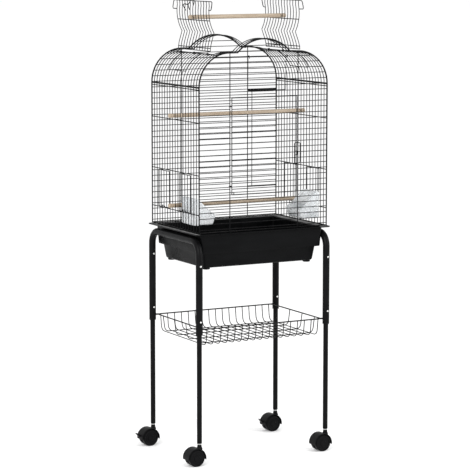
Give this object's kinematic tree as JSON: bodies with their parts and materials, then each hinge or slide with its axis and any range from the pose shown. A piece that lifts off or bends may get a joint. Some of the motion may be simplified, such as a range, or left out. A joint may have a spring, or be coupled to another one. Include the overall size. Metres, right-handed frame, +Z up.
{
  "type": "bird cage on stand",
  "caption": "Wire bird cage with an opening roof, perches and seed cups, on a wheeled tube stand with a wire basket.",
  "frame": {"origin": "floor, below the middle of the object's bounding box", "axes": "+Z up, the front door faces -Y, +X to the right seen from the front"},
  "size_m": [0.5364, 0.3696, 1.4479],
  "materials": {
    "black_steel": "satin",
    "black_plastic": "satin",
    "zinc": "bright",
    "wood": "matte",
    "clear_plastic": "frosted"
  },
  "bodies": {
    "cage_and_stand": {"front_panel_left": "black_steel", "front_panel_right": "black_steel", "front_panel_bottom": "black_steel", "front_panel_top": "black_steel", "back_panel": "black_steel", "left_side_panel": "black_steel", "right_side_panel": "black_steel", "left_shoulder_grille": "black_steel", "right_shoulder_grille": "black_steel", "front_roof_strip": "black_steel", "back_roof_strip": "black_steel", "base_tray": "black_plastic", "middle_perch": "wood", "lower_perch": "wood", "left_seed_cup": "clear_plastic", "right_seed_cup": "clear_plastic", "left_stand_frame": "black_steel", "right_stand_frame": "black_steel", "basket": "black_steel", "front_left_leg": "black_steel", "front_left_upper_screw": "zinc", "front_left_lower_screw": "zinc", "front_left_caster_collar": "zinc", "back_left_leg": "black_steel", "back_left_upper_screw": "zinc", "back_left_lower_screw": "zinc", "back_left_caster_collar": "zinc", "front_right_leg": "black_steel", "front_right_upper_screw": "zinc", "front_right_lower_screw": "zinc", "front_right_caster_collar": "zinc", "back_right_leg": "black_steel", "back_right_upper_screw": "zinc", "back_right_lower_screw": "zinc", "back_right_caster_collar": "zinc"},
    "left_flap": {"left_flap": "black_steel", "left_flap_stay": "black_steel", "flap_latch": "black_steel"},
    "right_flap": {"right_flap": "black_steel", "right_flap_stay": "black_steel"},
    "top_perch": {"top_perch": "wood"},
    "front_door": {"front_door": "black_steel"},
    "door_latch": {"door_latch": "black_steel"},
    "swing": {"swing_frame": "black_steel", "swing_bar": "black_plastic"},
    "front_left_feeder_door": {"front_left_feeder_door": "black_steel"},
    "back_left_feeder_door": {"back_left_feeder_door": "black_steel"},
    "front_right_feeder_door": {"front_right_feeder_door": "black_steel"},
    "back_right_feeder_door": {"back_right_feeder_door": "black_steel"},
    "front_left_caster": {"front_left_caster_hood": "black_plastic"},
    "front_left_wheels": {"front_left_caster_wheels": "black_plastic"},
    "back_left_caster": {"back_left_caster_hood": "black_plastic"},
    "back_left_wheels": {"back_left_caster_wheels": "black_plastic"},
    "back_left_brake": {"back_left_brake_lever": "black_plastic"},
    "front_right_caster": {"front_right_caster_hood": "black_plastic"},
    "front_right_wheels": {"front_right_caster_wheels": "black_plastic"},
    "back_right_caster": {"back_right_caster_hood": "black_plastic"},
    "back_right_wheels": {"back_right_caster_wheels": "black_plastic"},
    "back_right_brake": {"back_right_brake_lever": "black_plastic"}
  },
  "joints": [
    {"name": "left_flap_hinge", "type": "hinge", "parent": "cage_and_stand", "child": "left_flap", "pos_m": [-0.1383, 0, 1.28026], "axis": [0, 1, 0], "range_deg": [0, 73.3]},
    {"name": "right_flap_hinge", "type": "hinge", "parent": "cage_and_stand", "child": "right_flap", "pos_m": [0.1807, 0, 1.28026], "axis": [0, -1, 0], "range_deg": [0, 69.6]},
    {"name": "top_perch_draw", "type": "slide", "parent": "cage_and_stand", "child": "top_perch", "axis": [1, 0, 0], "range_m": [0, 0.476]},
    {"name": "front_door_hinge", "type": "hinge", "parent": "cage_and_stand", "child": "front_door", "pos_m": [-0.0998, -0.1655, 0.997], "axis": [0, 0, 1], "range_deg": [-110, 0]},
    {"name": "door_latch_slide", "type": "slide", "parent": "front_door", "child": "door_latch", "axis": [-1, 0, 0], "range_m": [0, 0.014]},
    {"name": "swing_hinge", "type": "hinge", "parent": "cage_and_stand", "child": "swing", "pos_m": [0.0212, -0.164, 1.2734], "axis": [1, 0, 0], "range_deg": [0, 30]},
    {"name": "front_left_feeder_door_slide", "type": "slide", "parent": "cage_and_stand", "child": "front_left_feeder_door", "axis": [0, 0, 1], "range_m": [0, 0.09]},
    {"name": "back_left_feeder_door_slide", "type": "slide", "parent": "cage_and_stand", "child": "back_left_feeder_door", "axis": [0, 0, 1], "range_m": [0, 0.09]},
    {"name": "front_right_feeder_door_slide", "type": "slide", "parent": "cage_and_stand", "child": "front_right_feeder_door", "axis": [0, 0, 1], "range_m": [0, 0.09]},
    {"name": "back_right_feeder_door_slide", "type": "slide", "parent": "cage_and_stand", "child": "back_right_feeder_door", "axis": [0, 0, 1], "range_m": [0, 0.09]},
    {"name": "front_left_swivel", "type": "hinge", "parent": "cage_and_stand", "child": "front_left_caster", "pos_m": [-0.2068, -0.1645, 0.05], "axis": [0, 0, 1], "continuous": true},
    {"name": "front_left_roll", "type": "hinge", "parent": "front_left_caster", "child": "front_left_wheels", "pos_m": [-0.2238, -0.1645, 0.0265], "axis": [0, 1, 0], "continuous": true},
    {"name": "back_left_swivel", "type": "hinge", "parent": "cage_and_stand", "child": "back_left_caster", "pos_m": [-0.2068, 0.1645, 0.05], "axis": [0, 0, 1], "continuous": true},
    {"name": "back_left_roll", "type": "hinge", "parent": "back_left_caster", "child": "back_left_wheels", "pos_m": [-0.2238, 0.1645, 0.0265], "axis": [0, 1, 0], "continuous": true},
    {"name": "back_left_brake_press", "type": "hinge", "parent": "back_left_caster", "child": "back_left_brake", "pos_m": [-0.2572, 0.1645, 0.033], "axis": [0, 1, 0], "range_deg": [-12, 0]},
    {"name": "front_right_swivel", "type": "hinge", "parent": "cage_and_stand", "child": "front_right_caster", "pos_m": [0.2492, -0.1645, 0.05], "axis": [0, 0, 1], "continuous": true},
    {"name": "front_right_roll", "type": "hinge", "parent": "front_right_caster", "child": "front_right_wheels", "pos_m": [0.2322, -0.1645, 0.0265], "axis": [0, 1, 0], "continuous": true},
    {"name": "back_right_swivel", "type": "hinge", "parent": "cage_and_stand", "child": "back_right_caster", "pos_m": [0.2492, 0.1645, 0.05], "axis": [0, 0, 1], "continuous": true},
    {"name": "back_right_roll", "type": "hinge", "parent": "back_right_caster", "child": "back_right_wheels", "pos_m": [0.2322, 0.1645, 0.0265], "axis": [0, 1, 0], "continuous": true},
    {"name": "back_right_brake_press", "type": "hinge", "parent": "back_right_caster", "child": "back_right_brake", "pos_m": [0.1988, 0.1645, 0.033], "axis": [0, 1, 0], "range_deg": [-12, 0]}
  ],
  "couplings": [
    {"joint": "right_flap_hinge", "follows": "left_flap_hinge", "ratio": 0.94816},
    {"joint": "top_perch_draw", "follows": "left_flap_hinge", "m_per_rad": 0.3715}
  ]
}
